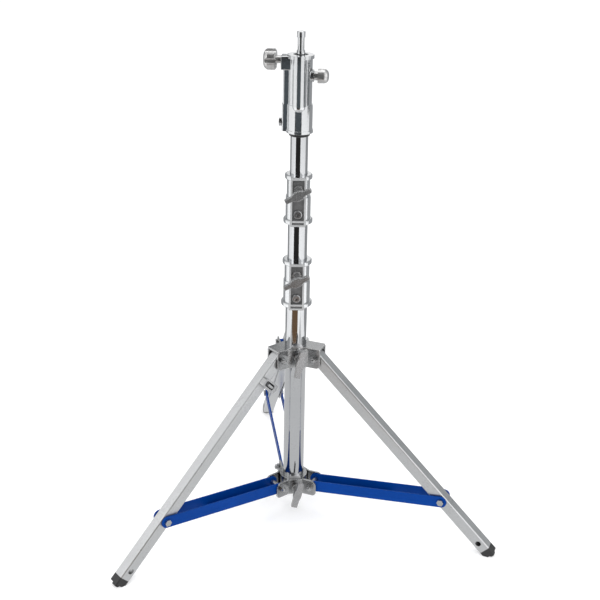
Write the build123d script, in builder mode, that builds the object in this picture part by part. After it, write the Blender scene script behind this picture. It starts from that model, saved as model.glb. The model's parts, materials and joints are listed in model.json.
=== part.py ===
from build123d import *
import os
from math import atan2, cos, degrees, radians, sin, sqrt

# Low double-riser lighting stand with a folding steel base and a sliding, levelling rear leg.
# Millimetres. +Z is up, the floor is at zero, and the clamp levers face -Y. The pieces are drawn round the
# column's axis; save() then shifts them, so that the origin is under the middle of the whole footprint.

os.makedirs("parts", exist_ok=True)

# ---- Driving dimensions -------------------------------------------------------------------

# Column tubes
BASE_TUBE_R = 22.5
RISER_1_R = 20.0
RISER_2_R = 17.5
TUBE_WALL = 2.0
SLIDE_GAP = 0.3
BASE_TUBE_BOTTOM = 60.0
RISER_1_BOTTOM = 82.0
RISER_2_BOTTOM = 104.0

# Place of the column's axis in the finished frame
COLUMN_X = -34.494
COLUMN_Y = -79.043

# Heights on the column
CLAMP_A_BOTTOM = 503.0
CLAMP_B_BOTTOM = 683.0
CLAMP_HEIGHT = 101.5
CLAMP_SHOULDER = 56.0
HEAD_BOTTOM = 868.0
HEAD_SLEEVE_TOP = 923.0
HEAD_TOP = 1018.0

# Folding base
BASE_TURN = 9.0
LEG_ANGLES = {"left": 210.0 + BASE_TURN, "rear": 90.0 + BASE_TURN, "right": 330.0 + BASE_TURN}
FRONT_ANGLE = 270.0 + BASE_TURN
LEG_TILT = 46.0
LEG_SIZE = 25.0
LEG_WALL = 2.0
LEG_LENGTH = 545.0
LEG_TOP_OVERHANG = 10.0
LEG_PIVOT_RUN = 404.0
CAP_LENGTH = 13.0
CAP_TAPER = 5.0
HINGE_R = 49.0
HINGE_Z = 392.5
LOWER_PIVOT_R = 48.0
LOWER_PIVOT_Z = 79.0

# Collars
HUB_R = 30.0
PLATE_T = 3.5
EAR_TIP_R = 61.0
UPPER_COLLAR_BOTTOM = 370.0
UPPER_COLLAR_TOP = 411.0
LOWER_COLLAR_BOTTOM = 58.0
LOWER_COLLAR_TOP = 94.0
UPPER_SCREW_Z = 394.0
LOWER_SCREW_Z = 76.0
UPPER_EAR = {"left": 14.5, "rear": 27.3, "right": 14.5}
LOWER_EAR = {"left": 17.5, "rear": 20.6, "right": 17.5}
PAD_WIDTH = 22.0
PAD_WINDOW = 23.0
PAD_HOUSING_T = 6.0
PAD_RISE = 7.0
REAR_LUG_TOP = 401.0
REAR_LUG_IN = 31.5

# Braces and sheath
BRACE_HALF = 17.0
BRACE_HEIGHT = 25.0
BRACE_T = 3.0
SHEATH_HALF = 16.5
SHEATH_T = 3.0
BAR_GAP = 0.5

# Fasteners
BOLT_R = 4.0
BOLT_GAP = 0.1
SPACER_R = 6.0

# Head
RECEIVER_R = 14.3
STUD_R = 8.0


# ---- Reference planes ---------------------------------------------------------------------


def ray(angle, radius=1.0, height=0.0):
    """A point at a radius and height in the vertical plane of one azimuth."""
    return Vector(radius * cos(radians(angle)), radius * sin(radians(angle)), height)


def side_plane(angle, radius=0.0, height=0.0, slope=0.0):
    """Vertical plane through the column axis: local x points out at the slope, local z points sideways."""
    out = ray(angle) * cos(radians(slope)) + Vector(0, 0, sin(radians(slope)))
    return Plane(origin=ray(angle, radius, height), x_dir=out, z_dir=ray(angle - 90))


def leg_plane(side):
    """Origin on the leg's hinge axis, local x down the leg, local y to its upper face."""
    return side_plane(LEG_ANGLES[side], HINGE_R, HINGE_Z, LEG_TILT - 90)


def brace_slope():
    rise = HINGE_Z - LEG_PIVOT_RUN * cos(radians(LEG_TILT)) - LOWER_PIVOT_Z
    run = HINGE_R + LEG_PIVOT_RUN * sin(radians(LEG_TILT)) - LOWER_PIVOT_R
    return degrees(atan2(rise, run)), sqrt(rise * rise + run * run)


BRACE_SLOPE, BRACE_LENGTH = brace_slope()


def brace_plane(side):
    """Origin on the brace's inner pivot axis, local x out along the brace, local y up."""
    return side_plane(LEG_ANGLES[side], LOWER_PIVOT_R, LOWER_PIVOT_Z, BRACE_SLOPE)


def front_plane(height, distance, angle=-90.0):
    """Plane whose local z points straight out of the column at one azimuth, local y up."""
    return Plane(origin=ray(angle, distance, height), x_dir=ray(angle + 90), z_dir=ray(angle))


def save(piece, label):
    placed = piece.moved(Location((COLUMN_X, COLUMN_Y, 0)))
    placed.label = label
    export_step(placed, f"parts/{label}.step")


# ---- Small building blocks, used inside a part --------------------------------------------


def add_disc(plane, radius, length, mode=Mode.ADD):
    with Locations(plane.location):
        Cylinder(radius, length, align=(Align.CENTER, Align.CENTER, Align.MIN), mode=mode)


def add_hex(plane, across_flats, length):
    with BuildSketch(plane) as outline:
        RegularPolygon(across_flats / 2, 6, major_radius=False)
    extrude(outline.sketch, amount=length)


def add_bolt(plane, grip, radius=BOLT_R, across_flats=13.0, head=5.0):
    """Hexagon head on the plane's outer side, and a plain shank of the grip length behind it."""
    add_hex(plane, across_flats, head)
    add_disc(plane.offset(-grip), radius, grip)


def tube(radius, wall, bottom, top):
    with BuildPart() as pipe:
        with BuildSketch(Plane.XY.offset(bottom)):
            Circle(radius)
            Circle(radius - wall, mode=Mode.SUBTRACT)
        extrude(amount=top - bottom)
    return pipe.part


def plug(bore_r, lip_r, bottom, lip, depth, hole_r):
    """End plug with a lip below the tube and a body that fits in its bore."""
    with BuildPart() as stopper:
        with BuildSketch(Plane.XY.offset(bottom)):
            Circle(lip_r)
            Circle(hole_r, mode=Mode.SUBTRACT)
        extrude(amount=lip)
        with BuildSketch(Plane.XY.offset(bottom + lip)):
            Circle(bore_r)
            Circle(hole_r, mode=Mode.SUBTRACT)
        extrude(amount=depth)
    return stopper.part


# ---- Column tubes -------------------------------------------------------------------------

PLUG_LIP = 3.0
PLUG_DEPTH = 18.0
PRESS_GAP = 0.05

base_tube = tube(BASE_TUBE_R, TUBE_WALL, BASE_TUBE_BOTTOM, CLAMP_A_BOTTOM + CLAMP_SHOULDER)
save(base_tube, "base_tube")
save(
    plug(BASE_TUBE_R - TUBE_WALL - PRESS_GAP, BASE_TUBE_R, BASE_TUBE_BOTTOM - PLUG_LIP, PLUG_LIP, PLUG_DEPTH, 6),
    "base_tube_plug",
)

riser_1 = tube(RISER_1_R, TUBE_WALL, RISER_1_BOTTOM, CLAMP_B_BOTTOM + CLAMP_SHOULDER)
save(riser_1, "riser_1_tube")
save(
    plug(RISER_1_R - TUBE_WALL - PRESS_GAP, RISER_1_R + 0.2, RISER_1_BOTTOM - PLUG_LIP, PLUG_LIP, PLUG_DEPTH, 6),
    "riser_1_bush",
)

riser_2 = tube(RISER_2_R, TUBE_WALL, RISER_2_BOTTOM, HEAD_SLEEVE_TOP)
save(riser_2, "riser_2_tube")
save(
    plug(RISER_2_R - TUBE_WALL - PRESS_GAP, RISER_2_R + 0.2, RISER_2_BOTTOM - PLUG_LIP, PLUG_LIP, PLUG_DEPTH, 6),
    "riser_2_bush",
)


# ---- Riser clamps -------------------------------------------------------------------------

RECESS_HALF = 11.8
RAIL_T = 3.5
RAIL_FRONT = 9.0
RECESS_BOTTOM = 12.0
RECESS_TOP = 95.5
SLOT_BOTTOM = 3.5
SLOT_TOP = 8.5
SLOT_DEPTH = 3.0
FLANGE_HEIGHT = 10.0
LEVER_HEIGHT = 76.0
SOCKET_SCREW_HEIGHT = 24.0
SOCKET_HEAD_R = 9.0
SOCKET_HEAD = 5.5
CLAMP_SCREW_R = 5.0
NECK_R = 5.6
LEVER_TURN = 27.0


def clamp_casting(bottom, lower_tube_r, upper_tube_r):
    """Casting that grips the lower tube and guides the upper one, with a framed recess in front."""
    body_r = upper_tube_r + 5.7
    flange_r = upper_tube_r + 10.0
    lower_r = lower_tube_r + 5.2
    foot_r = lower_tube_r + 9.5
    front = body_r + RAIL_FRONT
    with BuildPart() as casting:
        with BuildSketch(Plane.XY.offset(bottom)):
            Circle(foot_r)
        extrude(amount=FLANGE_HEIGHT)
        with BuildSketch(Plane.XY.offset(bottom + FLANGE_HEIGHT)):
            Circle(lower_r)
        extrude(amount=CLAMP_SHOULDER - FLANGE_HEIGHT)
        with BuildSketch(Plane.XY.offset(bottom + CLAMP_SHOULDER)):
            Circle(body_r)
        extrude(amount=CLAMP_HEIGHT - CLAMP_SHOULDER - FLANGE_HEIGHT)
        with BuildSketch(Plane.XY.offset(bottom + CLAMP_HEIGHT - FLANGE_HEIGHT)):
            Circle(flange_r)
        extrude(amount=FLANGE_HEIGHT)
        flange_rims = casting.edges().filter_by(GeomType.CIRCLE).filter_by(lambda e: e.radius in (flange_r, foot_r))
        fillet(flange_rims, radius=3)
        with BuildSketch(front_plane(bottom + CLAMP_HEIGHT / 2, 0)):
            RectangleRounded(2 * (RECESS_HALF + RAIL_T), CLAMP_HEIGHT, 2)
        extrude(amount=front)
        with BuildSketch(front_plane(bottom + (RECESS_BOTTOM + RECESS_TOP) / 2, body_r + 1.5)):
            Rectangle(2 * RECESS_HALF, RECESS_TOP - RECESS_BOTTOM)
        extrude(amount=RAIL_FRONT, mode=Mode.SUBTRACT)
        with BuildSketch(front_plane(bottom + (SLOT_BOTTOM + SLOT_TOP) / 2, front - SLOT_DEPTH)):
            Rectangle(2 * RECESS_HALF, SLOT_TOP - SLOT_BOTTOM)
        extrude(amount=RAIL_FRONT, mode=Mode.SUBTRACT)
        with BuildSketch(Plane.XY.offset(bottom - 10)):
            Circle(lower_tube_r + PRESS_GAP)
        extrude(amount=CLAMP_SHOULDER + 10, mode=Mode.SUBTRACT)
        with BuildSketch(Plane.XY.offset(bottom)):
            Circle(upper_tube_r + SLIDE_GAP)
        extrude(amount=CLAMP_HEIGHT + 5, mode=Mode.SUBTRACT)
        add_disc(front_plane(bottom + LEVER_HEIGHT, 0), CLAMP_SCREW_R + SLIDE_GAP, front, mode=Mode.SUBTRACT)
        with BuildSketch(front_plane(bottom + LEVER_HEIGHT, upper_tube_r - 3)):
            Rectangle(15, 19)
        extrude(amount=6.6, mode=Mode.SUBTRACT)
        add_disc(front_plane(bottom + SOCKET_SCREW_HEIGHT, 0), 3.0 + PRESS_GAP, front, mode=Mode.SUBTRACT)
    return casting.part


def clamp_pad(bottom, tube_r):
    """Brake shoe between the clamp screw and the sliding tube."""
    with BuildPart() as pad:
        with BuildSketch(front_plane(bottom + LEVER_HEIGHT, tube_r - 3)):
            Rectangle(14, 18)
        extrude(amount=6)
        with BuildSketch(Plane.XY.offset(bottom)):
            Circle(tube_r + SLIDE_GAP)
        extrude(amount=CLAMP_HEIGHT, mode=Mode.SUBTRACT)
    return pad.part


def clamp_socket_screw(bottom, lower_tube_r, upper_tube_r):
    seat = upper_tube_r + 5.7 + 1.5
    with BuildPart() as screw:
        add_disc(front_plane(bottom + SOCKET_SCREW_HEIGHT, lower_tube_r + 0.2), 3.0, seat - lower_tube_r - 0.2)
        add_disc(front_plane(bottom + SOCKET_SCREW_HEIGHT, seat), SOCKET_HEAD_R, SOCKET_HEAD)
        rim = screw.edges().filter_by(GeomType.CIRCLE).filter_by(lambda e: e.radius > SOCKET_HEAD_R - 1)
        fillet(rim.sort_by(Axis.Y)[0], radius=2.5)
        with BuildSketch(front_plane(bottom + SOCKET_SCREW_HEIGHT, seat + 2)):
            RegularPolygon(3.5, 6, major_radius=False)
        extrude(amount=SOCKET_HEAD, mode=Mode.SUBTRACT)
    return screw.part


def wing(plane, reach, turn, waist, tip, thickness):
    """Cast wing on a screw: a thick middle and two flat arms with rounded ends, at a turn in the plane given."""
    half = [(reach, tip), (waist + 4, tip * 1.1), (waist * 0.6, waist)]
    ring = half + [(-x, y) for x, y in reversed(half)]
    ring = ring + [(-x, -y) for x, y in ring]
    with BuildSketch(plane) as outline:
        with BuildLine():
            Polyline(*[Vector(x, y).rotate(Axis.Z, turn) for x, y in ring], close=True)
        make_face()
        ends = outline.vertices().sort_by(lambda v: (v.center() - plane.origin).length)[-4:]
        fillet(ends, radius=tip * 0.8)
    extrude(outline.sketch, amount=thickness)


def wing_screw(plane, tip_start, ring_start, ring_r, wing_start, reach, turn, waist, tip, thickness):
    """Screw with a ring that bears on the casting, a waisted neck and a wing in front."""
    with BuildPart() as screw:
        add_disc(plane.offset(tip_start), CLAMP_SCREW_R, wing_start - tip_start + 2)
        add_disc(plane.offset(ring_start), ring_r, 5)
        with Locations(plane.offset(ring_start + 5).location):
            Cone(ring_r * 0.8, NECK_R, 8, align=(Align.CENTER, Align.CENTER, Align.MIN))
        add_disc(plane.offset(ring_start + 5), NECK_R, wing_start - ring_start - 5)
        with Locations(plane.offset(wing_start - 7).location):
            Cone(NECK_R, waist * 0.9, 7, align=(Align.CENTER, Align.CENTER, Align.MIN))
        wing(plane.offset(wing_start), reach, turn, waist, tip, thickness)
        outer_face = screw.faces().sort_by(Axis(plane.origin, plane.z_dir))[-1]
        fillet(outer_face.edges(), radius=1.2)
    return screw.part


def clamp_lever(bottom, upper_tube_r):
    """Screw, ring and wing lever in front of a clamp's recess."""
    plane = front_plane(bottom + LEVER_HEIGHT, 0)
    floor = upper_tube_r + 5.7 + 1.5
    return wing_screw(plane, upper_tube_r + 3.3, floor + 0.5, 8.6, floor + 39, 28, LEVER_TURN, 9.2, 4.4, 9)


CLAMPS = {
    "lower_clamp": (CLAMP_A_BOTTOM, BASE_TUBE_R, RISER_1_R),
    "upper_clamp": (CLAMP_B_BOTTOM, RISER_1_R, RISER_2_R),
}
for clamp_name, (clamp_bottom, lower_r, upper_r) in CLAMPS.items():
    save(clamp_casting(clamp_bottom, lower_r, upper_r), f"{clamp_name}_casting")
    save(clamp_pad(clamp_bottom, upper_r), f"{clamp_name}_pad")
    save(clamp_socket_screw(clamp_bottom, lower_r, upper_r), f"{clamp_name}_socket_screw")
    save(clamp_lever(clamp_bottom, upper_r), f"{clamp_name}_lever")


# ---- Head ---------------------------------------------------------------------------------

HEAD_R = 23.0
HEAD_SLEEVE_R = 25.0
RIM_R = 26.0
RIB_R = 13.8
RIB_END_Z = HEAD_SLEEVE_TOP - 1.0
RIB_FORWARD = 15.5
HEAD_TURN = -5.0
RIB_ANGLE = 270.0 + HEAD_TURN
KNOB_ANGLE = 180.0 + HEAD_TURN
PULL_ANGLE = HEAD_TURN
HEAD_PAD_REACH = 33.0
HEAD_PAD_WIDTH = 16.0
BOSS_REACH = 37.0
BOSS_WIDTH = 28.0
BOSS_BOTTOM = 989.0
BOSS_TOP = 1015.5
KNOB_Z = 1007.0
PULL_Z = 978.0
FIXING_Z = 886.5
SCREW_R = 5.0
PLUNGER_R = 4.0
KEYWAY_DEPTH = 3.0

with BuildPart() as head_casting:
    with BuildSketch(Plane.XY.offset(HEAD_BOTTOM)):
        Circle(HEAD_SLEEVE_R)
    extrude(amount=HEAD_SLEEVE_TOP - HEAD_BOTTOM)
    with BuildSketch(Plane.XY.offset(HEAD_BOTTOM)):
        Circle(HEAD_SLEEVE_R + 1.5)
    extrude(amount=6)
    with BuildSketch(Plane.XY.offset(HEAD_SLEEVE_TOP)):
        Circle(HEAD_R)
    extrude(amount=HEAD_TOP - HEAD_SLEEVE_TOP)
    with BuildSketch(Plane.XY.offset(HEAD_TOP - 7)):
        Circle(RIM_R)
    extrude(amount=7)
    flared = head_casting.edges().filter_by(GeomType.CIRCLE).filter_by(lambda e: e.radius > HEAD_SLEEVE_R + 0.5)
    fillet(flared, radius=0.7)
    for pad_bottom, pad_top, pad_reach in (
        (HEAD_BOTTOM + 2, HEAD_SLEEVE_TOP, HEAD_PAD_REACH + 1.5),
        (HEAD_SLEEVE_TOP, BOSS_BOTTOM + 2, HEAD_PAD_REACH),
    ):
        with BuildSketch(Plane(origin=(0, 0, pad_bottom), x_dir=ray(KNOB_ANGLE), z_dir=(0, 0, 1))):
            with Locations((pad_reach / 2, 0)):
                RectangleRounded(pad_reach, HEAD_PAD_WIDTH, 3.5)
        extrude(amount=pad_top - pad_bottom)
    with BuildSketch(front_plane((BOSS_BOTTOM + BOSS_TOP) / 2, 0, KNOB_ANGLE)):
        RectangleRounded(BOSS_WIDTH, BOSS_TOP - BOSS_BOTTOM, 2.5)
    extrude(amount=BOSS_REACH)
    boss_face = head_casting.faces().sort_by(Axis((0, 0, 0), ray(KNOB_ANGLE)))[-1]
    fillet(boss_face.edges(), radius=1.5)
    with BuildSketch(Plane.XY.offset(RIB_END_Z)):
        with Locations(ray(RIB_ANGLE, RIB_FORWARD)):
            Circle(RIB_R)
    extrude(amount=HEAD_TOP - RIB_END_Z)
    with Locations(ray(RIB_ANGLE, RIB_FORWARD, RIB_END_Z)):
        Sphere(RIB_R)
    with BuildSketch(Plane.XY.offset(HEAD_BOTTOM - 1)):
        Circle(RISER_2_R + PRESS_GAP)
    extrude(amount=HEAD_SLEEVE_TOP - HEAD_BOTTOM + 1, mode=Mode.SUBTRACT)
    with BuildSketch(Plane.XY.offset(HEAD_BOTTOM)):
        Circle(RECEIVER_R)
    extrude(amount=HEAD_TOP - HEAD_BOTTOM + 1, mode=Mode.SUBTRACT)
    add_disc(front_plane(KNOB_Z, 0, KNOB_ANGLE), SCREW_R + SLIDE_GAP, BOSS_REACH + 5, mode=Mode.SUBTRACT)
    add_disc(front_plane(PULL_Z, 0, PULL_ANGLE), PLUNGER_R + SLIDE_GAP, HEAD_R + 5, mode=Mode.SUBTRACT)
    bolt_hole = front_plane(FIXING_Z, RISER_2_R, KNOB_ANGLE)
    add_disc(bolt_hole, BOLT_R + PRESS_GAP, HEAD_PAD_REACH, mode=Mode.SUBTRACT)
save(head_casting.part, "head_casting")

with BuildPart() as head_bumper:
    with BuildSketch(Plane.XY.offset(HEAD_BOTTOM - 7)):
        Circle(20.5)
        Circle(RISER_2_R + PRESS_GAP, mode=Mode.SUBTRACT)
    extrude(amount=7)
    lower_rim = head_bumper.edges().filter_by(GeomType.CIRCLE).filter_by(lambda e: e.radius > 20)
    fillet(lower_rim.sort_by(Axis.Z)[0], radius=2.5)
save(head_bumper.part, "head_bumper_ring")

with BuildPart() as head_fixing_bolt:
    fixing_seat = front_plane(FIXING_Z, HEAD_PAD_REACH + 1.6, KNOB_ANGLE)
    add_bolt(fixing_seat, HEAD_PAD_REACH + 1.3 - RISER_2_R, across_flats=14.0, head=5.5)
save(head_fixing_bolt.part, "head_fixing_bolt")

# The 16 mm stud, on a base that slides in the 28.6 mm receiver and is kept from turning by a keyway.
STUD_TOP = 1061.0
STUD_HEAD = 11.0
STUD_WAIST_R = 6.4
STUD_WAIST = 24.0
STUD_BASE_TOP = HEAD_TOP - 4.0
STUD_BASE = 56.0

with BuildPart() as stud:
    with BuildSketch(Plane.XY.offset(STUD_BASE_TOP - STUD_BASE)):
        Circle(RECEIVER_R - 0.2)
        with Locations(Location(ray(PULL_ANGLE, RECEIVER_R), (0, 0, PULL_ANGLE))):
            Rectangle(2 * KEYWAY_DEPTH, 2 * PLUNGER_R + 0.8, mode=Mode.SUBTRACT)
    extrude(amount=STUD_BASE)
    foot_height = STUD_TOP - STUD_HEAD - STUD_WAIST - STUD_BASE_TOP
    add_disc(Plane.XY.offset(STUD_BASE_TOP), STUD_R, foot_height)
    add_disc(Plane.XY.offset(STUD_BASE_TOP + foot_height), STUD_WAIST_R, STUD_WAIST)
    add_disc(Plane.XY.offset(STUD_TOP - STUD_HEAD), STUD_R, STUD_HEAD)
    top_rim = stud.faces().sort_by(Axis.Z)[-1].edges()
    chamfer(top_rim, length=0.8)
save(stud.part, "stud_16mm")

# Lobed knob and screw that lock a 28 mm spigot in the receiver.
KNOB_START = BOSS_REACH + 9.5
KNOB_LENGTH = 24.5
KNOB_R = 20.0
SCALLOPS = 6
SCALLOP_R = 7.0
SCALLOP_OUT = 3.8
knob_axis = front_plane(KNOB_Z, 0, KNOB_ANGLE)
knob_side = side_plane(KNOB_ANGLE, 0, KNOB_Z)

with BuildPart() as receiver_knob:
    with BuildSketch(knob_axis.offset(KNOB_START)) as knob_outline:
        Circle(KNOB_R)
        with PolarLocations(KNOB_R + SCALLOP_OUT, SCALLOPS):
            Circle(SCALLOP_R, mode=Mode.SUBTRACT)
    extrude(knob_outline.sketch, amount=KNOB_LENGTH)
    with BuildSketch(knob_side) as knob_profile:
        with BuildLine():
            knob_end = KNOB_START + KNOB_LENGTH
            Polyline(
                (knob_end, 0),
                (KNOB_START, 0),
                (KNOB_START, KNOB_R - 3),
                (KNOB_START + 2.5, KNOB_R),
                (knob_end - 8, KNOB_R),
            )
            ThreePointArc((knob_end - 8, KNOB_R), (knob_end - 2.2, KNOB_R - 4.5), (knob_end, 9))
            Line((knob_end, 9), (knob_end, 0))
        make_face()
    knob_turning_axis = Axis(knob_side.origin, knob_side.x_dir)
    revolve(knob_profile.sketch, axis=knob_turning_axis, mode=Mode.INTERSECT)
    add_disc(knob_axis.offset(RECEIVER_R + 0.4), SCREW_R, KNOB_START - RECEIVER_R)
    add_disc(knob_axis.offset(BOSS_REACH + 0.5), 7.5, KNOB_START - BOSS_REACH)
save(receiver_knob.part, "receiver_knob")

# Dome-ended knob of the plunger that keeps the stud up.
with BuildPart() as plunger_knob:
    pull_axis = front_plane(PULL_Z, 0, PULL_ANGLE)
    add_disc(pull_axis.offset(RECEIVER_R - KEYWAY_DEPTH + 0.5), PLUNGER_R, 30)
    add_disc(pull_axis.offset(HEAD_R + 3.4), 8.5, 8)
    add_disc(pull_axis.offset(HEAD_R + 10.4), 13.8, 21)
    dome = plunger_knob.faces().sort_by(Axis((0, 0, 0), ray(PULL_ANGLE)))[-1].edges()
    fillet(dome, radius=10)
save(plunger_knob.part, "plunger_knob")

with BuildPart() as plunger_washer:
    add_disc(pull_axis.offset(HEAD_R), 12, 3)
    add_disc(pull_axis.offset(HEAD_R - 8), 12, 8)
    add_disc(pull_axis.offset(HEAD_R - 9), PLUNGER_R + SLIDE_GAP, 15, mode=Mode.SUBTRACT)
    add_disc(Plane.XY.offset(PULL_Z - 20), HEAD_R + PRESS_GAP, 40, mode=Mode.SUBTRACT)
save(plunger_washer.part, "plunger_washer")


# ---- Leg collars --------------------------------------------------------------------------


def plate_outline(angle, ears, next_angle, next_ears, grow):
    """Bent plate between two legs: an ear beside each leg and a flat across the tube."""
    flat = HUB_R - 0.5 + grow
    half = radians(60)
    inner = ray(angle, (flat - (ears + grow) * sin(half)) / cos(half)) + ray(angle + 90, ears + grow)
    tip = ray(angle, EAR_TIP_R) + ray(angle + 90, ears + grow)
    next_inner = ray(next_angle, (flat - (next_ears + grow) * sin(half)) / cos(half))
    next_inner = next_inner + ray(next_angle - 90, next_ears + grow)
    next_tip = ray(next_angle, EAR_TIP_R) + ray(next_angle - 90, next_ears + grow)
    return [tip, inner, next_inner, next_tip]


def leg_collar(bottom, top, ears, covered):
    """Hub with three bent plates; covered lugs get a roof plate over the left and right legs."""
    order = [("left", "right"), ("right", "rear"), ("rear", "left")]
    roof = 3.5 if covered else 0.0
    with BuildPart() as collar:
        with BuildSketch(Plane.XY.offset(bottom)):
            Circle(HUB_R)
        extrude(amount=top - bottom + roof)
        for side, following in order:
            near = plate_outline(LEG_ANGLES[side], ears[side], LEG_ANGLES[following], ears[following], 0)
            far = plate_outline(LEG_ANGLES[side], ears[side], LEG_ANGLES[following], ears[following], PLATE_T)
            with BuildSketch(Plane.XY.offset(bottom)):
                with BuildLine():
                    Polyline(*near, *reversed(far), close=True)
                make_face()
            extrude(amount=top - bottom)
        if covered:
            for side in ("left", "right"):
                with BuildSketch(Plane(origin=(0, 0, top), x_dir=ray(LEG_ANGLES[side]), z_dir=(0, 0, 1))):
                    with Locations((EAR_TIP_R / 2 + 8, 0)):
                        RectangleRounded(EAR_TIP_R - 16, 2 * (ears[side] + PLATE_T), 3)
                extrude(amount=roof)
            rear_lugs = Plane(origin=(0, 0, REAR_LUG_TOP), x_dir=ray(LEG_ANGLES["rear"]), z_dir=(0, 0, 1))
            with BuildSketch(rear_lugs):
                with Locations((EAR_TIP_R / 2 + 6, REAR_LUG_IN), (EAR_TIP_R / 2 + 6, -REAR_LUG_IN)):
                    Rectangle(EAR_TIP_R, 2 * (REAR_LUG_IN - UPPER_EAR["rear"] + 4))
            extrude(amount=top, mode=Mode.SUBTRACT)
        ear_corners = collar.edges().filter_by(lambda e: abs(e.length - PLATE_T) < 0.01)
        outer_corners = ear_corners.filter_by(lambda e: (e @ 0.5).Z < bottom + 0.1)
        outer_corners = outer_corners.filter_by(lambda e: Vector((e @ 0.5).X, (e @ 0.5).Y).length > EAR_TIP_R - 3)
        fillet(outer_corners, radius=8)
        if not covered:
            top_corners = collar.edges().filter_by(lambda e: abs(e.length - PLATE_T) < 0.01)
            top_corners = top_corners.filter_by(lambda e: (e @ 0.5).Z > top - 0.1)
            top_corners = top_corners.filter_by(lambda e: Vector((e @ 0.5).X, (e @ 0.5).Y).length > EAR_TIP_R - 3)
            fillet(top_corners, radius=12)
        with BuildSketch(front_plane((bottom + top) / 2, 0, FRONT_ANGLE)):
            Rectangle(PAD_WINDOW + 2 * PAD_HOUSING_T, top - bottom)
        extrude(amount=HUB_R + 1)
        with BuildSketch(Plane.XY.offset(bottom - 1)):
            Circle(BASE_TUBE_R + SLIDE_GAP)
            with BuildLine():
                near_edge = ray(FRONT_ANGLE, HUB_R - 0.5)
                half_window = ray(FRONT_ANGLE + 90, PAD_WINDOW / 2)
                Polyline(near_edge + half_window, near_edge - half_window, half_window * -1, half_window, close=True)
            make_face()
        extrude(amount=top - bottom + roof + 2, mode=Mode.SUBTRACT)
        screw_plane = front_plane(UPPER_SCREW_Z if covered else LOWER_SCREW_Z, 0, FRONT_ANGLE)
        add_disc(screw_plane, CLAMP_SCREW_R + SLIDE_GAP, HUB_R + 10, mode=Mode.SUBTRACT)
        pivot_r = HINGE_R if covered else LOWER_PIVOT_R
        pivot_z = HINGE_Z if covered else LOWER_PIVOT_Z
        for side in LEG_ANGLES:
            hole = side_plane(LEG_ANGLES[side], pivot_r, pivot_z).offset(-50)
            add_disc(hole, BOLT_R + PRESS_GAP, 100, mode=Mode.SUBTRACT)
    return collar.part


def collar_pad(bottom, top):
    with BuildPart() as pad:
        with BuildSketch(front_plane((bottom + top + PAD_RISE) / 2 + 1.5, BASE_TUBE_R - 4, FRONT_ANGLE)):
            RectangleRounded(PAD_WIDTH, top + PAD_RISE - bottom - 3, 2)
        extrude(amount=HUB_R - 0.8 - BASE_TUBE_R + 4)
        with BuildSketch(Plane.XY.offset(bottom)):
            Circle(BASE_TUBE_R + SLIDE_GAP)
        extrude(amount=top + PAD_RISE - bottom + 1, mode=Mode.SUBTRACT)
    return pad.part


def collar_screw(height, turn):
    """Large wing screw on a collar; the wing hangs nearly upright."""
    plane = front_plane(height, 0, FRONT_ANGLE)
    plate_face = HUB_R + PLATE_T
    return wing_screw(plane, HUB_R - 0.3, plate_face + 0.5, 8.0, plate_face + 27, 31, turn, 8.5, 6.2, 9)


save(leg_collar(UPPER_COLLAR_BOTTOM, UPPER_COLLAR_TOP, UPPER_EAR, True), "upper_leg_collar")
save(leg_collar(LOWER_COLLAR_BOTTOM, LOWER_COLLAR_TOP, LOWER_EAR, False), "lower_leg_collar")
save(collar_pad(UPPER_COLLAR_BOTTOM, UPPER_COLLAR_TOP), "upper_collar_pad")
save(collar_pad(LOWER_COLLAR_BOTTOM, LOWER_COLLAR_TOP), "lower_collar_pad")
save(collar_screw(UPPER_SCREW_Z, 78), "upper_collar_wing_screw")
save(collar_screw(LOWER_SCREW_Z, 76), "lower_collar_wing_screw")

# Pivot bolts pass from ear to ear, their cap nuts to the front. The rear hinge has two short shoulder bolts, so
# that the leg can slide between them.
NUT_T = 6.0
CAP_NUT_R = 5.6
CAP_NUT_REACH = 10.0
FRONT_SIDE = {"left": -1, "rear": -1, "right": 1}


def ear_plane(side, radius, height, distance, direction):
    """Plane beside a leg, whose local z points away from the leg's middle."""
    angle = LEG_ANGLES[side]
    origin = ray(angle, radius, height) + ray(angle - 90, distance * direction)
    return Plane(origin=origin, x_dir=ray(angle), z_dir=ray(angle - 90) * direction)


def pivot_bolt(side, radius, height, outer_face):
    """Head on the ear away from the front, and a shank that ends inside the cap nut."""
    head_plane = ear_plane(side, radius, height, outer_face, -FRONT_SIDE[side])
    add_bolt(head_plane, 2 * outer_face + NUT_T)


def cap_nut(side, radius, height, outer_face):
    plane = ear_plane(side, radius, height, outer_face, FRONT_SIDE[side])
    add_hex(plane, 13, NUT_T)
    add_disc(plane.offset(NUT_T), CAP_NUT_R, CAP_NUT_REACH - NUT_T)
    with Locations(plane.offset(CAP_NUT_REACH - NUT_T + 2).location):
        Sphere(CAP_NUT_R)
    add_disc(plane.offset(-3), BOLT_R + PRESS_GAP, 3 + NUT_T, mode=Mode.SUBTRACT)
    with Locations(plane.offset(-CAP_NUT_REACH).location):
        Box(30, 30, CAP_NUT_REACH, align=(Align.CENTER, Align.CENTER, Align.MIN), mode=Mode.SUBTRACT)


with BuildPart() as hinge_bolts:
    for side in ("left", "right"):
        pivot_bolt(side, HINGE_R, HINGE_Z, UPPER_EAR[side] + PLATE_T)
save(hinge_bolts.part, "leg_hinge_bolts")

with BuildPart() as hinge_nuts:
    for side in ("left", "right"):
        cap_nut(side, HINGE_R, HINGE_Z, UPPER_EAR[side] + PLATE_T)
save(hinge_nuts.part, "leg_hinge_cap_nuts")


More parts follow.
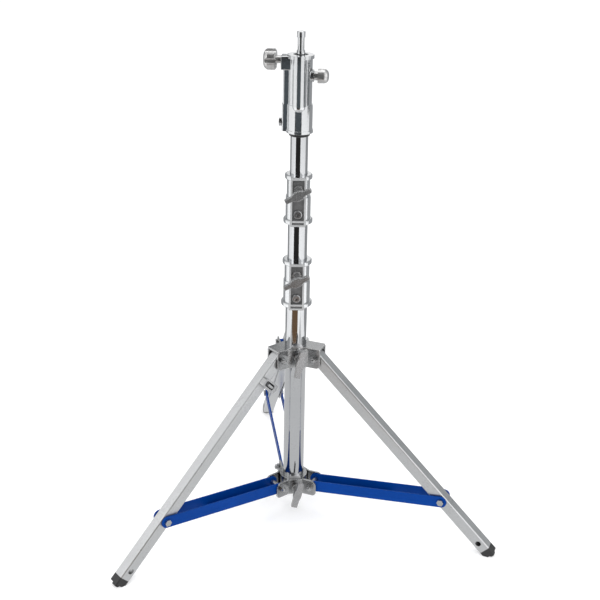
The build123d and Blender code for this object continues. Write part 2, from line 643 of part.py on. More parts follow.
with BuildPart() as rear_hinge_bolts:
    for direction in (1, -1):
        outer_face = UPPER_EAR["rear"] + PLATE_T
        bolt_plane = ear_plane("rear", HINGE_R, HINGE_Z, outer_face, direction)
        add_bolt(bolt_plane, outer_face - SHEATH_HALF + SHEATH_T - 0.4)
save(rear_hinge_bolts.part, "rear_hinge_bolts")

with BuildPart() as rear_hinge_spacers:
    for direction in (1, -1):
        spacer_plane = ear_plane("rear", HINGE_R, HINGE_Z, SHEATH_HALF + 0.5, direction)
        add_disc(spacer_plane, 7, UPPER_EAR["rear"] - SHEATH_HALF - 0.6)
        add_disc(spacer_plane, BOLT_R + PRESS_GAP, UPPER_EAR["rear"], mode=Mode.SUBTRACT)
save(rear_hinge_spacers.part, "rear_hinge_spacers")

with BuildPart() as brace_bolts:
    for side in LEG_ANGLES:
        pivot_bolt(side, LOWER_PIVOT_R, LOWER_PIVOT_Z, LOWER_EAR[side] + PLATE_T)
save(brace_bolts.part, "brace_pivot_bolts")

with BuildPart() as brace_nuts:
    for side in LEG_ANGLES:
        cap_nut(side, LOWER_PIVOT_R, LOWER_PIVOT_Z, LOWER_EAR[side] + PLATE_T)
save(brace_nuts.part, "brace_pivot_cap_nuts")

with BuildPart() as brace_spacers:
    for side in LEG_ANGLES:
        half_length = SHEATH_HALF if side == "rear" else BRACE_HALF - BRACE_T - 0.3
        spacer_plane = side_plane(LEG_ANGLES[side], LOWER_PIVOT_R, LOWER_PIVOT_Z).offset(-half_length)
        add_disc(spacer_plane, SPACER_R, 2 * half_length)
        add_disc(spacer_plane, BOLT_R + PRESS_GAP, 2 * half_length, mode=Mode.SUBTRACT)
save(brace_spacers.part, "brace_spacer_tubes")


# ---- Legs ---------------------------------------------------------------------------------

FOOT_HOLE_R = 6.0
FOOT_HOLE_RUN = LEG_LENGTH - 20.0
BUSH_R = 6.5


def along_leg(side, run):
    """Plane across the leg at a distance down from its hinge; local z runs down the leg."""
    base = leg_plane(side)
    origin = base.origin + base.x_dir * run
    return Plane(origin=origin, x_dir=base.y_dir, z_dir=base.x_dir)


def leg_tube(side, hinged):
    with BuildPart() as leg:
        with BuildSketch(along_leg(side, -LEG_TOP_OVERHANG)):
            RectangleRounded(LEG_SIZE, LEG_SIZE, 3)
            RectangleRounded(LEG_SIZE - 2 * LEG_WALL, LEG_SIZE - 2 * LEG_WALL, 1, mode=Mode.SUBTRACT)
        extrude(amount=LEG_LENGTH + LEG_TOP_OVERHANG)
        base = leg_plane(side)
        hole = Plane(origin=base.origin + base.x_dir * FOOT_HOLE_RUN, x_dir=base.x_dir, z_dir=base.z_dir)
        add_disc(hole.offset(-LEG_SIZE), FOOT_HOLE_R, 2 * LEG_SIZE, mode=Mode.SUBTRACT)
        if hinged:
            add_disc(base.offset(-LEG_SIZE), BUSH_R + PRESS_GAP, 2 * LEG_SIZE, mode=Mode.SUBTRACT)
            pivot = Plane(origin=base.origin + base.x_dir * LEG_PIVOT_RUN, x_dir=base.x_dir, z_dir=base.z_dir)
            add_disc(pivot.offset(-LEG_SIZE), BOLT_R + 0.5, 2 * LEG_SIZE, mode=Mode.SUBTRACT)
    return leg.part


def leg_bush(side):
    with BuildPart() as bush:
        base = leg_plane(side)
        add_disc(base.offset(-LEG_SIZE / 2 - 1.5), BUSH_R, LEG_SIZE + 3)
        add_disc(base.offset(-LEG_SIZE), BOLT_R + BOLT_GAP, 2 * LEG_SIZE, mode=Mode.SUBTRACT)
    return bush.part


def leg_cap(side):
    """Black end cap with a spigot in the tube, cut level where it meets the floor."""
    with BuildPart() as cap:
        with BuildSketch(along_leg(side, LEG_LENGTH)):
            RectangleRounded(LEG_SIZE, LEG_SIZE, 3)
        extrude(amount=CAP_LENGTH - CAP_TAPER)
        with BuildSketch(along_leg(side, LEG_LENGTH + CAP_LENGTH - CAP_TAPER)) as wide:
            RectangleRounded(LEG_SIZE, LEG_SIZE, 3)
        with BuildSketch(along_leg(side, LEG_LENGTH + CAP_LENGTH)) as narrow:
            RectangleRounded(LEG_SIZE - 2 * CAP_TAPER, LEG_SIZE - 2 * CAP_TAPER, 3)
        loft([wide.sketch, narrow.sketch])
        with BuildSketch(along_leg(side, LEG_LENGTH - 8)):
            inner = LEG_SIZE - 2 * LEG_WALL - 0.1
            RectangleRounded(inner, inner, 1)
        extrude(amount=8)
        split(bisect_by=Plane.XY, keep=Keep.TOP)
    return cap.part


for leg_side in LEG_ANGLES:
    save(leg_tube(leg_side, leg_side != "rear"), f"{leg_side}_leg_tube")
    save(leg_cap(leg_side), f"{leg_side}_leg_cap")
for leg_side in ("left", "right"):
    save(leg_bush(leg_side), f"{leg_side}_leg_hinge_bush")


# ---- Sheath, pad and screw of the sliding rear leg ----------------------------------------

SHEATH_TOP = 30.0
SHEATH_LENGTH = LEG_PIVOT_RUN + 14.0
SHEATH_SCREW_RUN = 350.0
SHEATH_WEB = LEG_SIZE / 2 + 1.0

rear = leg_plane("rear")

with BuildPart() as rear_leg_sheath:
    with BuildSketch(rear) as sheath_side:
        with BuildLine():
            Polyline(
                (-LEG_TOP_OVERHANG, -LEG_SIZE / 2),
                (SHEATH_LENGTH, -LEG_SIZE / 2),
                (SHEATH_LENGTH, SHEATH_WEB + SHEATH_T),
                (-SHEATH_TOP, SHEATH_WEB + SHEATH_T),
                (-SHEATH_TOP, SHEATH_WEB - 3),
                close=True,
            )
        make_face()
    extrude(sheath_side.sketch, amount=SHEATH_HALF, both=True)
    with BuildSketch(rear) as sheath_bore:
        with Locations((200, SHEATH_WEB - 25)):
            Rectangle(600, 50)
    extrude(sheath_bore.sketch, amount=SHEATH_HALF - SHEATH_T, both=True, mode=Mode.SUBTRACT)
    add_disc(rear.offset(-30), BOLT_R + BOLT_GAP, 60, mode=Mode.SUBTRACT)
    sheath_pivot = Plane(origin=rear.origin + rear.x_dir * LEG_PIVOT_RUN, x_dir=rear.x_dir, z_dir=rear.z_dir)
    add_disc(sheath_pivot.offset(-30), BOLT_R + 0.5, 60, mode=Mode.SUBTRACT)
    screw_origin = rear.origin + rear.x_dir * SHEATH_SCREW_RUN
    sheath_screw_plane = Plane(origin=screw_origin, x_dir=rear.x_dir, z_dir=rear.y_dir)
    add_disc(sheath_screw_plane.offset(SHEATH_WEB + SHEATH_T), 10, 8)
    add_disc(sheath_screw_plane.offset(SHEATH_WEB - 1), CLAMP_SCREW_R + SLIDE_GAP, 20, mode=Mode.SUBTRACT)
save(rear_leg_sheath.part, "rear_leg_sheath")

with BuildPart() as rear_leg_screw:
    boss_top = SHEATH_WEB + SHEATH_T + 8
    add_disc(sheath_screw_plane.offset(LEG_SIZE / 2 + 0.4), CLAMP_SCREW_R, boss_top + 12 - LEG_SIZE / 2)
    wing(sheath_screw_plane.offset(boss_top + 3), 22, 60, 9, 6, 9)
save(rear_leg_screw.part, "rear_leg_wing_screw")


# ---- Braces -------------------------------------------------------------------------------

WEB_INNER_END = 8.0
WEB_OUTER_END = 178.0
STUB_BOLT_GRIP = 2.8


def channel_brace(side):
    """Pressed U-channel, open upwards; its web stops short, so the leg nests in the fork when folded."""
    plane = brace_plane(side)
    with BuildPart() as brace:
        with BuildSketch(plane) as flange:
            with Locations((BRACE_LENGTH / 2, 0)):
                SlotCenterToCenter(BRACE_LENGTH, BRACE_HEIGHT)
        for direction in (1, -1):
            flange_plane_shift = plane.z_dir * direction * (BRACE_HALF - BRACE_T / 2)
            extrude(flange.sketch.translate(flange_plane_shift), amount=BRACE_T / 2, dir=plane.z_dir, both=True)
        with BuildSketch(plane) as web:
            with Locations(((WEB_INNER_END + WEB_OUTER_END) / 2, -BRACE_HEIGHT / 2 + BRACE_T / 2)):
                Rectangle(WEB_OUTER_END - WEB_INNER_END, BRACE_T)
        extrude(web.sketch, amount=BRACE_HALF - BRACE_T / 2, both=True)
        add_disc(plane.offset(-30), BOLT_R + BOLT_GAP, 60, mode=Mode.SUBTRACT)
        tip = Plane(origin=plane.origin + plane.x_dir * BRACE_LENGTH, x_dir=plane.x_dir, z_dir=plane.z_dir)
        add_disc(tip.offset(-30), BOLT_R + PRESS_GAP, 60, mode=Mode.SUBTRACT)
    return brace.part


def stub_bolts(side, half_width):
    """The two ends of the outer pivot bolt: a head on each flange, and a shank that stops at the inner face."""
    plane = brace_plane(side)
    with BuildPart() as bolts:
        for direction in (1, -1):
            tip_origin = plane.origin + plane.x_dir * BRACE_LENGTH + plane.z_dir * direction * half_width
            tip = Plane(origin=tip_origin, x_dir=plane.x_dir, z_dir=plane.z_dir * direction)
            add_bolt(tip, STUB_BOLT_GRIP, head=4.5)
    return bolts.part


for leg_side in ("left", "right"):
    save(channel_brace(leg_side), f"{leg_side}_brace")
    save(stub_bolts(leg_side, BRACE_HALF), f"{leg_side}_brace_outer_bolts")

REAR_BAR_IN = SHEATH_HALF + BAR_GAP
REAR_BAR_T = 3.0
REAR_BAR_HEIGHT = 20.0


def rear_bar(direction):
    plane = brace_plane("rear")
    with BuildPart() as bar:
        shift = plane.z_dir * direction * (REAR_BAR_IN + REAR_BAR_T / 2)
        with BuildSketch(plane) as outline:
            with Locations((BRACE_LENGTH / 2, 0)):
                SlotCenterToCenter(BRACE_LENGTH, REAR_BAR_HEIGHT)
            Circle(BOLT_R + BOLT_GAP, mode=Mode.SUBTRACT)
            with Locations((BRACE_LENGTH, 0)):
                Circle(BOLT_R + PRESS_GAP, mode=Mode.SUBTRACT)
        extrude(outline.sketch.translate(shift), amount=REAR_BAR_T / 2, dir=plane.z_dir, both=True)
    return bar.part


save(rear_bar(1), "rear_brace_right_bar")
save(rear_bar(-1), "rear_brace_left_bar")
save(stub_bolts("rear", REAR_BAR_IN + REAR_BAR_T), "rear_brace_outer_bolts")


# ---- Latch on the left leg ----------------------------------------------------------------

LATCH_RUN = 58.0
LATCH_WIDTH = 20.0
LATCH_LENGTH = 40.0
LATCH_DEPTH = 13.0
LATCH_WINDOW = 27.0
LATCH_WINDOW_SHIFT = 2.5
LATCH_PIN_R = 4.9
LATCH_PIN_BACK = 6.5
latch_leg = leg_plane("left")
latch_side = -1.0
latch_origin = latch_leg.origin + latch_leg.x_dir * LATCH_RUN - latch_leg.y_dir * (LATCH_LENGTH / 2 - LEG_SIZE / 2)
latch_origin = latch_origin + latch_leg.z_dir * latch_side * (LEG_SIZE / 2 + PRESS_GAP)
latch_plane = Plane(origin=latch_origin, x_dir=latch_leg.y_dir * -1, z_dir=latch_leg.z_dir * latch_side)

with BuildPart() as latch_bracket:
    with BuildSketch(latch_plane) as latch_outline:
        RectangleRounded(LATCH_LENGTH, LATCH_WIDTH, 5)
    extrude(latch_outline.sketch, amount=LATCH_DEPTH)
    with BuildSketch(latch_plane.offset(2.0)) as latch_window:
        with Locations((-LATCH_WINDOW_SHIFT, 0)):
            RectangleRounded(LATCH_WINDOW, LATCH_WIDTH - 8.5, 3)
    extrude(latch_window.sketch, amount=LATCH_DEPTH, mode=Mode.SUBTRACT)
    pin_axis_origin = latch_plane.origin + latch_plane.z_dir * (2.4 + LATCH_PIN_R)
    pin_axis = Plane(origin=pin_axis_origin, x_dir=latch_plane.z_dir, z_dir=latch_plane.x_dir)
    add_disc(pin_axis, LATCH_PIN_R + 0.3, LATCH_LENGTH, mode=Mode.SUBTRACT)
save(latch_bracket.part, "leg_latch_bracket")

with BuildPart() as latch_pin:
    add_disc(pin_axis.offset(-LATCH_PIN_BACK), LATCH_PIN_R, LATCH_LENGTH / 2 + LATCH_PIN_BACK + 2)
save(latch_pin.part, "leg_latch_pin")
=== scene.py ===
import json
import math

import bpy
from mathutils import Matrix, Vector


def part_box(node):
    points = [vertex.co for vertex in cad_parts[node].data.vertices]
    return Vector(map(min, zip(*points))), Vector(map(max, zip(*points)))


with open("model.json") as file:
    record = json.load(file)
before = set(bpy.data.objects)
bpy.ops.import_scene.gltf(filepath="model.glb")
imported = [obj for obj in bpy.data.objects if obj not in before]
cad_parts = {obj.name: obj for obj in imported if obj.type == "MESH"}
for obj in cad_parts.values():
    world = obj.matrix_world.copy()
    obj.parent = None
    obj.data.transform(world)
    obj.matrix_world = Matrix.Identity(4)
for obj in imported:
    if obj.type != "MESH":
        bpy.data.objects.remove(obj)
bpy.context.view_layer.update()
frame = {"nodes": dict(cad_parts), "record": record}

joints = {joint["name"]: joint for joint in frame["record"]["behaviour"]["joints"]}
COLUMN = Vector(joints["column_turn"]["pos_m"][:2] + [0.0])

# ---- Directions that the legs run in, for the grain of their metal ------------------------

BASE_TURN = 9.0
LEG_TILT = 46.0
LEG_ANGLE = {"left": 210.0 + BASE_TURN, "rear": 90.0 + BASE_TURN, "right": 330.0 + BASE_TURN}
BRACE_SLOPE = 6.43


def along(angle, slope):
    """Unit vector that leaves the column at an azimuth and rises at a slope, both in degrees."""
    a, s = math.radians(angle), math.radians(slope)
    return Vector((math.cos(a) * math.cos(s), math.sin(a) * math.cos(s), math.sin(s)))


# ---- Materials ----------------------------------------------------------------------------


class Graph:
    """A material's node tree, with short calls to add and join nodes."""

    def __init__(self, name):
        self.material = bpy.data.materials.new(name)
        self.material.use_nodes = True
        self.tree = self.material.node_tree
        self.shader = self.tree.nodes["Principled BSDF"]

    def node(self, kind, links=None, **values):
        made = self.tree.nodes.new(kind)
        for key, value in values.items():
            setattr(made, key, value)
        for socket, source in (links or {}).items():
            self.join(source, made.inputs[socket])
        return made

    def join(self, source, socket):
        if isinstance(source, bpy.types.NodeSocket):
            self.tree.links.new(source, socket)
        else:
            socket.default_value = source

    def spread(self, source, low, high, start=0.0, end=1.0):
        """Maps a factor onto a range."""
        links = {"Value": source, "From Min": start, "From Max": end, "To Min": low, "To Max": high}
        return self.node("ShaderNodeMapRange", links).outputs["Result"]

    def noise(self, vector, scale, detail=4.0, rough=0.5, distortion=0.0):
        links = {"Vector": vector, "Scale": scale, "Detail": detail}
        links.update({"Roughness": rough, "Distortion": distortion})
        return self.node("ShaderNodeTexNoise", links).outputs["Fac"]

    def mix(self, factor, low, high):
        made = self.node("ShaderNodeMix", data_type="RGBA")
        self.join(factor, made.inputs[0])
        self.join(low, made.inputs[6])
        self.join(high, made.inputs[7])
        return made.outputs[2]

    def math(self, operation, first, second=0.0, clamp=False):
        made = self.node("ShaderNodeMath", operation=operation, use_clamp=clamp)
        self.join(first, made.inputs[0])
        self.join(second, made.inputs[1])
        return made.outputs[0]

    def coordinates(self, direction=None, squeeze=(1.0, 1.0, 1.0)):
        """Object coordinates, turned so that their X runs along a direction, then squeezed."""
        source = self.node("ShaderNodeTexCoord").outputs["Object"]
        turn = (0.0, 0.0, 0.0)
        if direction is not None:
            turn = direction.to_track_quat("X", "Z").inverted().to_euler()
        links = {"Vector": source, "Rotation": turn, "Scale": squeeze}
        return self.node("ShaderNodeMapping", links).outputs["Vector"]

    def edges(self, radius):
        """About 1 on outer edges and 0 on flats, from a rounded normal."""
        rounded = self.node("ShaderNodeBevel", {"Radius": radius}, samples=4).outputs["Normal"]
        flat = self.node("ShaderNodeNewGeometry").outputs["True Normal"]
        both = self.node("ShaderNodeVectorMath", operation="DOT_PRODUCT")
        self.join(rounded, both.inputs[0])
        self.join(flat, both.inputs[1])
        return self.spread(both.outputs["Value"], 1.0, 0.0, 0.75, 0.99)


def inside(g, position, low, high):
    """1 within a box given in object coordinates, 0 outside it."""
    parts = g.node("ShaderNodeSeparateXYZ", {"Vector": position}).outputs
    factor = 1.0
    for part, start, end in zip(parts, low, high):
        factor = g.math("MULTIPLY", factor, g.math("GREATER_THAN", part, start))
        factor = g.math("MULTIPLY", factor, g.math("LESS_THAN", part, end))
    return factor


SPECK_SCALE = 240.0
BUMP_HEIGHT = 0.0004
STAIN = (0.09, 0.08, 0.07, 1.0)
FRAME_TONES = (0.34, 0.345, 0.35, 1.0), (0.46, 0.465, 0.47, 1.0)
FRAME_ROUGH = (0.42, 0.42, 0.42, 1.0)
FRAME_METALLIC = 0.25
# Painted shade: dark tones for the floor and the slot of a clamp's recess.
RECESS_SHADE_TONES = (0.09, 0.09, 0.092, 1.0), (0.17, 0.17, 0.172, 1.0)


def tone(color, factor):
    return tuple(min(1.0, c * factor) for c in color[:3]) + (1.0,)


def surface(
    name,
    color,
    rough,
    metallic=0.0,
    direction=None,
    squeeze=(1.0, 1.0, 1.0),
    grain=900.0,
    cloud=14.0,
    variation=0.10,
    rough_spread=0.08,
    bump=0.05,
    edge_color=None,
    edge_rough=0.3,
    edge_radius=0.0009,
    edge_least=0.0,
    soft_edge=0.0006,
    specular=0.5,
    dirt=0.0,
    hollow=None,
):
    """Procedural finish: cloudy tone, directional grain, fine bump, rounded edges, and edges of another
    colour: worn on the levers, screws and black plastic, paler rims on the zinc plate, a painted
    highlight on the blue paint.
    """
    g = Graph(name)
    plain = g.coordinates()
    run = g.coordinates(direction, squeeze)
    clouds = g.noise(plain, cloud, 6.0, 0.6, 0.4)
    fine = g.noise(run, grain, 4.0, 0.6)
    speck = g.noise(plain, SPECK_SCALE, 3.0, 0.5)
    light, dark = tone(color, 1 + variation), tone(color, 1 - variation)
    body = g.mix(g.spread(clouds, 0.0, 1.0, 0.3, 0.7), dark, light)
    body = g.mix(g.spread(fine, 0.0, 0.5, 0.35, 0.75), body, tone(color, 1 - 1.6 * variation))
    roughness = g.math("ADD", g.spread(clouds, -rough_spread, rough_spread, 0.3, 0.7), rough)
    roughness = g.math("ADD", roughness, g.spread(fine, -rough_spread, rough_spread, 0.3, 0.7))
    if dirt:
        stain = g.spread(g.math("MULTIPLY", clouds, speck), 0.0, dirt, 0.27, 0.42)
        body = g.mix(stain, body, STAIN)
        roughness = g.math("ADD", roughness, g.math("MULTIPLY", stain, 0.35))
    # Edges of another colour: wear on most finishes, a painted highlight on the blue paint.
    if edge_color is not None:
        patchy = g.spread(speck, edge_least, 1.0, 0.42, 0.62)
        edge_mask = g.math("MULTIPLY", g.edges(edge_radius), patchy, clamp=True)
        body = g.mix(edge_mask, body, tuple(edge_color) + (1.0,))
        roughness = g.mix(edge_mask, roughness, (edge_rough,) * 3 + (1.0,))
    if hollow is not None:
        frame_box, floor_box, slot_box = hollow
        framed = inside(g, plain, *frame_box)
        # Painted shade: the recess's floor and slot are darkened.
        shaded_recess = g.math("MAXIMUM", inside(g, plain, *floor_box), inside(g, plain, *slot_box))
        body = g.mix(framed, body, g.mix(speck, *FRAME_TONES))
        body = g.mix(shaded_recess, body, g.mix(speck, *RECESS_SHADE_TONES))
        roughness = g.mix(framed, roughness, FRAME_ROUGH)
        g.join(g.spread(framed, metallic, FRAME_METALLIC), g.shader.inputs["Metallic"])
    g.join(body, g.shader.inputs["Base Color"])
    g.join(g.spread(roughness, 0.02, 0.98, 0.02, 0.98), g.shader.inputs["Roughness"])
    if hollow is None:
        g.shader.inputs["Metallic"].default_value = metallic
    g.shader.inputs["Specular IOR Level"].default_value = specular
    rounded = g.node("ShaderNodeBevel", {"Radius": soft_edge}, samples=4).outputs["Normal"]
    height = g.math("ADD", fine, g.math("MULTIPLY", speck, 0.6))
    links = {"Height": height, "Strength": bump, "Distance": BUMP_HEIGHT, "Normal": rounded}
    g.join(g.node("ShaderNodeBump", links).outputs["Normal"], g.shader.inputs["Normal"])
    return g.material


UP = Vector((0.0, 0.0, 1.0))

# Metres, measured from the column's axis, the recess's floor and the clamp's lower end.
FRAME_HALF = 0.0163
FRAME_DEPTH = 0.02
RECESS_HALF = 0.01165
RECESS_FLOOR = 0.0072
RECESS_DEPTH = 0.003
RECESS_LOW = 0.003
RECESS_HIGH = 0.0953
SLOT_DEPTH = 0.0068
SLOT_LOW = 0.0037
SLOT_HIGH = 0.0083
SKIN = 0.0005


def recess_of(node, tube_radius):
    """Boxes round a clamp's front frame, its recess's floor and its slot, in object coordinates."""
    low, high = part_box(node)
    floor = COLUMN.y - tube_radius - RECESS_FLOOR
    frame_box = (
        (COLUMN.x - FRAME_HALF, floor - FRAME_DEPTH, low[2] + SKIN),
        (COLUMN.x + FRAME_HALF, floor + SKIN, high[2] - SKIN),
    )
    floor_box = (
        (COLUMN.x - RECESS_HALF, floor - RECESS_DEPTH, low[2] + RECESS_LOW),
        (COLUMN.x + RECESS_HALF, floor + SKIN, low[2] + RECESS_HIGH),
    )
    slot_box = (
        (COLUMN.x - RECESS_HALF, floor - SLOT_DEPTH, low[2] + SLOT_LOW),
        (COLUMN.x + RECESS_HALF, floor - RECESS_DEPTH, low[2] + SLOT_HIGH),
    )
    return frame_box, floor_box, slot_box


def cast_alloy(name, hollow=None):
    """Polished casting; around a clamp's recess, the metal is rougher and darker, and the recess's
    floor and slot carry painted shade.
    """
    return surface(
        name,
        (0.68, 0.69, 0.70),
        0.12,
        metallic=1.0,
        direction=UP,
        squeeze=(0.15, 1.0, 1.0),
        grain=420.0,
        cloud=22.0,
        variation=0.05,
        rough_spread=0.04,
        bump=0.05,
        dirt=0.06,
        hollow=hollow,
    )


made = {
    "chrome_tube": surface(
        "chrome_tube",
        (0.57, 0.578, 0.59),
        0.06,
        metallic=1.0,
        direction=UP,
        squeeze=(0.02, 1.0, 1.0),
        grain=700.0,
        cloud=9.0,
        variation=0.04,
        rough_spread=0.035,
        bump=0.012,
        dirt=0.12,
    ),
    "stud_chrome": surface(
        "stud_chrome",
        (0.66, 0.67, 0.68),
        0.12,
        metallic=1.0,
        direction=UP,
        squeeze=(1.0, 0.05, 0.05),
        cloud=30.0,
        variation=0.05,
        rough_spread=0.04,
        bump=0.03,
        soft_edge=0.0003,
        dirt=0.2,
    ),
    "cast_alloy": cast_alloy("cast_alloy"),
    "lever_alloy": surface(
        "lever_alloy",
        (0.36, 0.36, 0.365),
        0.25,
        metallic=0.8,
        grain=500.0,
        cloud=60.0,
        variation=0.08,
        rough_spread=0.06,
        bump=0.06,
        edge_color=(0.90, 0.90, 0.90),
        edge_rough=0.35,
        edge_radius=0.0010,
        edge_least=0.8,
        dirt=0.05,
    ),
    "alloy_pad": surface("alloy_pad", (0.74, 0.74, 0.75), 0.34, metallic=1.0, bump=0.1, dirt=0.15),
    "zinc_plate": surface(
        "zinc_plate",
        (0.38, 0.385, 0.39),
        0.24,
        metallic=1.0,
        grain=260.0,
        cloud=26.0,
        variation=0.12,
        rough_spread=0.08,
        bump=0.10,
        edge_color=(0.88, 0.88, 0.88),
        edge_rough=0.35,
        edge_radius=0.0026,
        edge_least=0.7,
        dirt=0.10,
    ),
    "bolt_steel": surface(
        "bolt_steel",
        (0.52, 0.525, 0.53),
        0.24,
        metallic=1.0,
        grain=600.0,
        cloud=80.0,
        variation=0.12,
        rough_spread=0.07,
        bump=0.12,
        soft_edge=0.0003,
        dirt=0.15,
    ),
    "socket_screw_steel": surface(
        "socket_screw_steel",
        (0.52, 0.52, 0.53),
        0.28,
        metallic=1.0,
        bump=0.1,
        edge_color=(0.85, 0.85, 0.85),
        edge_rough=0.2,
        soft_edge=0.0003,
        dirt=0.2,
    ),
    "black_plastic": surface(
        "black_plastic",
        (0.018, 0.018, 0.019),
        0.42,
        grain=700.0,
        variation=0.25,
        bump=0.25,
        edge_color=(0.12, 0.12, 0.12),
    ),
    "black_rubber": surface(
        "black_rubber",
        (0.014, 0.014, 0.015),
        0.55,
        grain=800.0,
        variation=0.25,
        bump=0.3,
    ),
    "nylon_bush": surface("nylon_bush", (0.70, 0.68, 0.60), 0.45, bump=0.15),
    "nylon_pad": surface("nylon_pad", (0.66, 0.62, 0.52), 0.45, bump=0.15),
    "grey_knob": surface(
        "grey_knob",
        (0.60, 0.595, 0.59),
        0.36,
        metallic=1.0,
        grain=300.0,
        cloud=60.0,
        variation=0.10,
        rough_spread=0.06,
        bump=0.12,
        dirt=0.3,
    ),
}
RISER_1_RADIUS = 0.020
RISER_2_RADIUS = 0.0175
lower_recess = recess_of("lower_clamp_casting", RISER_1_RADIUS)
upper_recess = recess_of("upper_clamp_casting", RISER_2_RADIUS)
clamp_metal = {
    "lower_clamp_casting": cast_alloy("cast_alloy_lower", lower_recess),
    "upper_clamp_casting": cast_alloy("cast_alloy_upper", upper_recess),
}


def blue_paint(name, direction):
    """Satin blue paint, a little paler on its edges: a painted highlight along them."""
    return surface(
        name,
        (0.0003, 0.038, 0.225),
        0.36,
        direction=direction,
        squeeze=(0.3, 1.0, 1.0),
        grain=160.0,
        cloud=9.0,
        variation=0.12,
        rough_spread=0.06,
        bump=0.08,
        # Painted highlight: a paler blue along the edges.
        edge_color=(0.03, 0.13, 0.38),
        edge_radius=0.0007,
        specular=0.06,
    )


def zinc_leg(name, direction):
    """Bright zinc on drawn square tube, with its grain along the leg."""
    return surface(
        name,
        (0.64, 0.648, 0.655),
        0.34,
        metallic=1.0,
        direction=direction,
        squeeze=(0.02, 1.0, 1.0),
        grain=620.0,
        cloud=11.0,
        variation=0.08,
        rough_spread=0.06,
        bump=0.05,
        dirt=0.12,
    )


slot_of = {part["node"]: part["material_slot"] for part in frame["record"]["subparts"]}
leg_metal = {}
brace_paint = {}
for side, azimuth in LEG_ANGLE.items():
    leg_metal[side] = zinc_leg(f"zinc_leg_{side}", along(azimuth, LEG_TILT - 90))
    brace_paint[side] = blue_paint(f"blue_paint_{side}", along(azimuth, BRACE_SLOPE))


def finish_for(node):
    """The material of a node: its own for a clamp, its side's for a leg or brace, else its slot's."""
    slot = slot_of[node]
    side = node.split("_")[0]
    if node in clamp_metal:
        return clamp_metal[node]
    if slot == "zinc_leg":
        return leg_metal[side]
    if slot == "blue_paint":
        return brace_paint[side]
    return made[slot]


for node in frame["nodes"]:
    thing = bpy.data.objects[node]
    for slot in thing.material_slots:
        slot.material = finish_for(node)

# ---- Stage: floor, cards and light --------------------------------------------------------


def plane(name, corners, material):
    """Flat stage piece, which is not part of the object."""
    mesh = bpy.data.meshes.new(name)
    mesh.from_pydata([Vector(c) for c in corners], [], [tuple(range(len(corners)))])
    thing = bpy.data.objects.new(name, mesh)
    bpy.context.scene.collection.objects.link(thing)
    mesh.materials.append(material)
    return thing


def floor_material():
    """White floor that glows a little, so that it stays as white as the backdrop."""
    g = Graph("studio_floor")
    clouds = g.noise(g.coordinates(), 1.5)
    pale = g.mix(clouds, (0.91, 0.91, 0.912, 1.0), (0.94, 0.94, 0.94, 1.0))
    g.join(pale, g.shader.inputs["Base Color"])
    g.shader.inputs["Roughness"].default_value = 0.7
    g.shader.inputs["Specular IOR Level"].default_value = 0.2
    g.shader.inputs["Emission Color"].default_value = (1.0, 1.0, 1.0, 1.0)
    g.shader.inputs["Emission Strength"].default_value = 0.10
    return g.material


def card_material(name, color):
    """Even glow of one colour, that no light or shadow changes."""
    material = bpy.data.materials.new(name)
    material.use_nodes = True
    tree = material.node_tree
    tree.nodes.clear()
    glow = tree.nodes.new("ShaderNodeEmission")
    glow.inputs["Color"].default_value = color + (1.0,)
    out = tree.nodes.new("ShaderNodeOutputMaterial")
    tree.links.new(glow.outputs[0], out.inputs[0])
    return material


SQUARE = (-1, -1), (1, -1), (1, 1), (-1, 1)
FLOOR_HALF = 30.0
plane("studio_floor", [(x * FLOOR_HALF, y * FLOOR_HALF, 0) for x, y in SQUARE], floor_material())


def hide_from_all_but_reflections(thing):
    """Leaves an object out of the picture, the shadows and the diffuse light."""
    thing.visible_camera = False
    thing.visible_shadow = False
    thing.visible_diffuse = False


def card(name, azimuth, distance, width, bottom, top, color):
    """Upright card that shows in reflections only, for the dark bands along the chrome."""
    out = along(azimuth, 0)
    side = Vector((-out.y, out.x, 0.0)) * width / 2
    centre = COLUMN + out * distance
    corners = [
        centre - side + UP * bottom,
        centre + side + UP * bottom,
        centre + side + UP * top,
        centre - side + UP * top,
    ]
    hide_from_all_but_reflections(plane(name, corners, card_material(name, color)))


CARD_AWAY = 0.85
CARD_TOP = 3.0
BLACK = (0.030, 0.029, 0.028)
GREY = (0.40, 0.41, 0.42)
# What the base tube, the risers, the head and the stud reflect, from the floor up.
card("card_front_low", 257.0, CARD_AWAY, 1.00, 0.0, 0.24, (0.20, 0.125, 0.075))
card("card_front", 257.0, CARD_AWAY, 1.00, 0.24, 0.645, BLACK)
card("card_front_head", 257.0, CARD_AWAY, 1.00, 0.645, 0.845, (0.090, 0.106, 0.118))
card("card_front_top", 257.0, CARD_AWAY, 1.00, 0.845, CARD_TOP, BLACK)
card("card_right_head", 353.0, 0.80, 0.40, 0.72, 0.86, (0.18, 0.19, 0.20))
card("card_back_left", 125.0, CARD_AWAY, 1.10, 0.0, CARD_TOP, GREY)
card("card_back_right", 40.0, CARD_AWAY, 1.30, 0.0, CARD_TOP, GREY)

FLOOR_CARD_HALF = 0.8
FLOOR_CARD_Z = 0.0006
corners = [COLUMN + Vector((x * FLOOR_CARD_HALF, y * FLOOR_CARD_HALF, FLOOR_CARD_Z)) for x, y in SQUARE]
floor_card = plane("card_floor", corners, card_material("card_floor", (0.77, 0.775, 0.78)))
hide_from_all_but_reflections(floor_card)


def area_light(name, location, target, size, power):
    """Rectangular light; its place and target are measured from the column's foot."""
    data = bpy.data.lights.new(name, "AREA")
    data.shape = "RECTANGLE"
    data.size, data.size_y = size
    data.energy = power
    thing = bpy.data.objects.new(name, data)
    thing.location = COLUMN + Vector(location)
    thing.rotation_euler = (Vector(target) - Vector(location)).to_track_quat("-Z", "Y").to_euler()
    bpy.context.scene.collection.objects.link(thing)


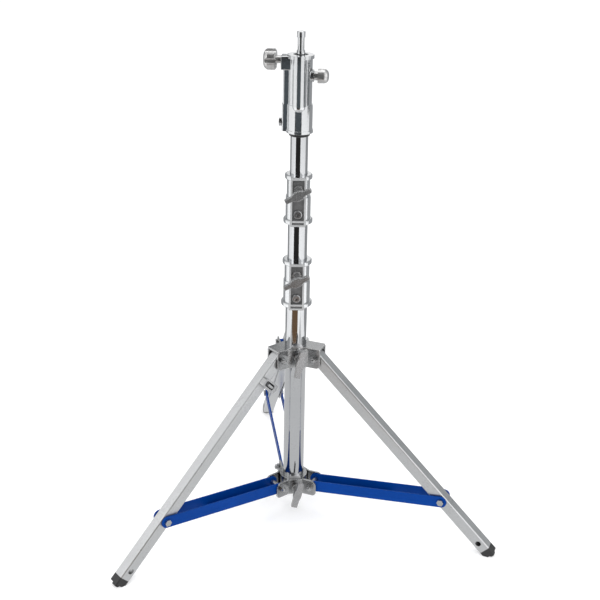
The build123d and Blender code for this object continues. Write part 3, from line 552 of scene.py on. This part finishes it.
area_light("key_left", (-2.2, -1.6, 2.4), (0, 0, 0.5), (1.4, 2.0), 10)
area_light("fill_right", (2.4, -1.2, 1.8), (0, 0, 0.5), (1.4, 2.0), 8)
area_light("front", (-0.3, -2.6, 2.0), (0, 0, 0.3), (2.4, 1.4), 31)
bpy.data.objects["front"].visible_glossy = False  # would glare in the chrome
area_light("top", (0.2, 0.6, 3.0), (0, 0, 0.4), (2.0, 2.0), 16)

# White surroundings, a trace greyer overhead.
SKY_LOW = (1.0, 1.0, 1.0, 1.0)
SKY_HIGH = (0.97, 0.975, 0.98, 1.0)
SKY_FROM = -0.2
SKY_TO = 0.9
SKY_STRENGTH = 1.06

world = bpy.data.worlds.new("studio")
bpy.context.scene.world = world
world.use_nodes = True
sky = world.node_tree
background = sky.nodes["Background"]
place = sky.nodes.new("ShaderNodeTexCoord")
split = sky.nodes.new("ShaderNodeSeparateXYZ")
height = sky.nodes.new("ShaderNodeMapRange")
shade = sky.nodes.new("ShaderNodeMix")
shade.data_type = "RGBA"
sky.links.new(place.outputs["Generated"], split.inputs[0])
sky.links.new(split.outputs["Z"], height.inputs["Value"])
height.inputs["From Min"].default_value = SKY_FROM
height.inputs["From Max"].default_value = SKY_TO
sky.links.new(height.outputs["Result"], shade.inputs[0])
shade.inputs[6].default_value = SKY_LOW
shade.inputs[7].default_value = SKY_HIGH
sky.links.new(shade.outputs[2], background.inputs["Color"])
background.inputs["Strength"].default_value = SKY_STRENGTH

# ---- Camera -------------------------------------------------------------------------------

CAMERA_AT = (0.0, -2.0686, 1.4073)  # from the column's foot
PITCH = math.radians(-23.42)
YAW = 0.0036
FOCAL_LENGTH = 65.12
ROLL = math.radians(1.13)

lens = bpy.data.cameras.new("camera")
lens.sensor_width = 36.0
lens.lens = FOCAL_LENGTH
camera = bpy.data.objects.new("camera", lens)
bpy.context.scene.collection.objects.link(camera)
look = Vector((math.sin(YAW) * math.cos(PITCH), math.cos(YAW) * math.cos(PITCH), math.sin(PITCH)))
level_right = Vector((math.cos(YAW), -math.sin(YAW), 0.0))
level_up = level_right.cross(look)
right = level_right * math.cos(ROLL) + level_up * math.sin(ROLL)
up = level_up * math.cos(ROLL) - level_right * math.sin(ROLL)
turned = Matrix((right, up, -look)).transposed().to_4x4()
camera.matrix_world = Matrix.Translation(COLUMN + Vector(CAMERA_AT)) @ turned
bpy.context.scene.camera = camera
bpy.context.scene.view_settings.view_transform = "Standard"
